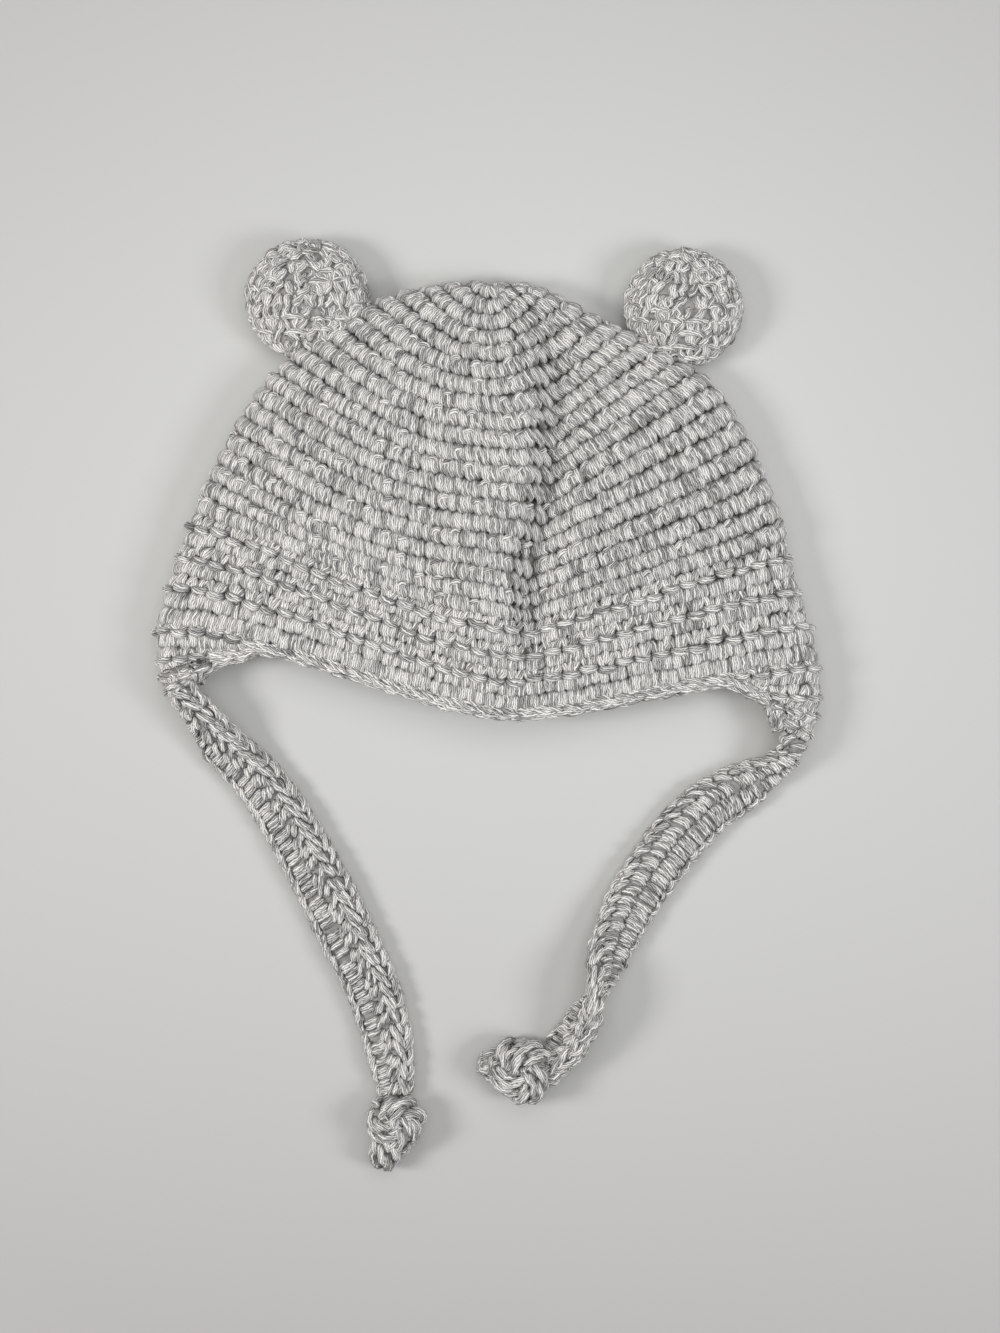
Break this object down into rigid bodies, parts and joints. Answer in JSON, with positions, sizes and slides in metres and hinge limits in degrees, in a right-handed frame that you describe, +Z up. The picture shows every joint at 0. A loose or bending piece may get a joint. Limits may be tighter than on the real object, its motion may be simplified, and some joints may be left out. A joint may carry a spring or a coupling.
{
  "type": "crochet baby bonnet",
  "caption": "Soft crocheted baby bonnet with round bear ears, earflaps and knotted ties, lying flat with its neck opening free.",
  "frame": {"origin": "on the flat underside of the lying bonnet, at the middle of its width and about the middle of its height from the ears to the earflaps", "axes": "+X towards the right earflap of the picture, +Y towards the crown, +Z up out of the surface it lies on"},
  "size_m": [0.2025, 0.284, 0.0236],
  "materials": {
    "cap_yarn": "marled off-white and pale grey cotton yarn, matt, crocheted in rounds of single crochet",
    "edging_yarn": "marled off-white and pale grey cotton yarn, matt, crocheted in a chain edging",
    "ear_yarn": "marled off-white and pale grey cotton yarn, matt, crocheted in small spiral rounds",
    "tie_yarn": "marled off-white and pale grey cotton yarn, matt, crocheted in flat strips with a chain along one edge"
  },
  "bodies": {
    "root": {"cap": "cap_yarn", "earflap_left": "cap_yarn", "earflap_right": "cap_yarn", "edging_front": "edging_yarn", "edging_back": "edging_yarn", "ear_left": "ear_yarn", "ear_right": "ear_yarn", "tie_left": "tie_yarn", "tie_right": "tie_yarn", "knot_left": "tie_yarn", "knot_right": "tie_yarn"}
  },
  "joints": []
}
